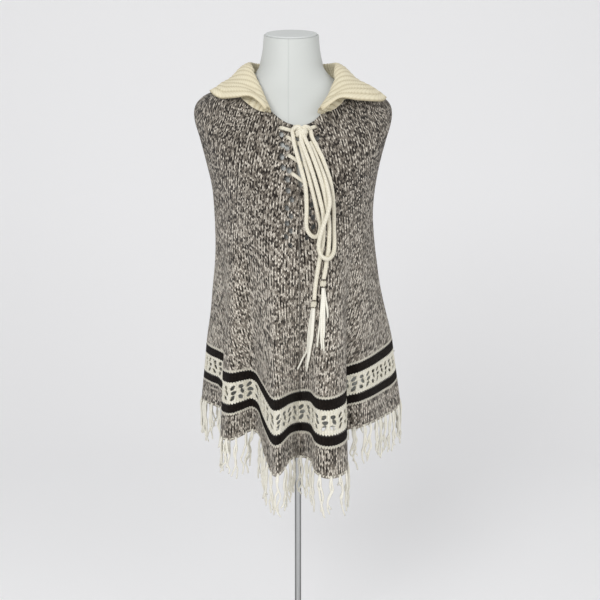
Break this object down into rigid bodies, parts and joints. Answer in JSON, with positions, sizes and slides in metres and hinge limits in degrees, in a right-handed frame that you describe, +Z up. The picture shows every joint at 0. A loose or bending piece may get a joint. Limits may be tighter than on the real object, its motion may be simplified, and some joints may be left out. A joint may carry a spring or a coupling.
{
  "type": "knitted poncho sweater on a limbless dress form with stand",
  "caption": "Knitted poncho with a wide ribbed collar, laced neck slit, lace band and fringe, hanging on a limbless dress form on a round base",
  "frame": {"origin": "centre of the underside of the round base plate, on the pole's axis", "axes": "+Z up along the pole, +X to the viewer's right, -Y toward the viewer, out of the garment's front"},
  "size_m": [0.3981, 0.3683, 1.2394],
  "materials": {
    "form_shell": "smooth pale grey fabric-covered shell",
    "form_cap": "smooth pale grey cap",
    "pole_steel": "bright drawn tube",
    "base_steel": "satin plate",
    "marl_knit": "chunky marled grey-brown and cream wool knit",
    "dark_knit": "dark brown wool knit",
    "cream_lace": "cream openwork wool knit",
    "cream_rib": "cream ribbed wool knit",
    "cream_cord": "cream knitted wool cord",
    "cream_fringe": "cream wool yarn"
  },
  "bodies": {
    "root": {"form_torso": "form_shell", "neck_cap": "form_cap", "stand_pole": "pole_steel", "stand_base": "base_steel", "body_front": "marl_knit", "body_back": "marl_knit", "stripe_upper": "dark_knit", "lace_band": "cream_lace", "stripe_lower": "dark_knit", "hem_border": "marl_knit", "fringe": "cream_fringe", "collar": "cream_rib", "bow_knot": "cream_cord", "bow_loop_left": "cream_cord", "bow_loop_right": "cream_cord", "cord_tail_left": "cream_cord", "cord_tail_right": "cream_cord", "tail_knot_left": "cream_cord", "tail_knot_right": "cream_cord", "tassel_left": "cream_cord", "tassel_right": "cream_cord", "lacing_1": "cream_cord", "lacing_2": "cream_cord", "lacing_3": "cream_cord", "lacing_4": "cream_cord", "lacing_5": "cream_cord"}
  },
  "joints": []
}
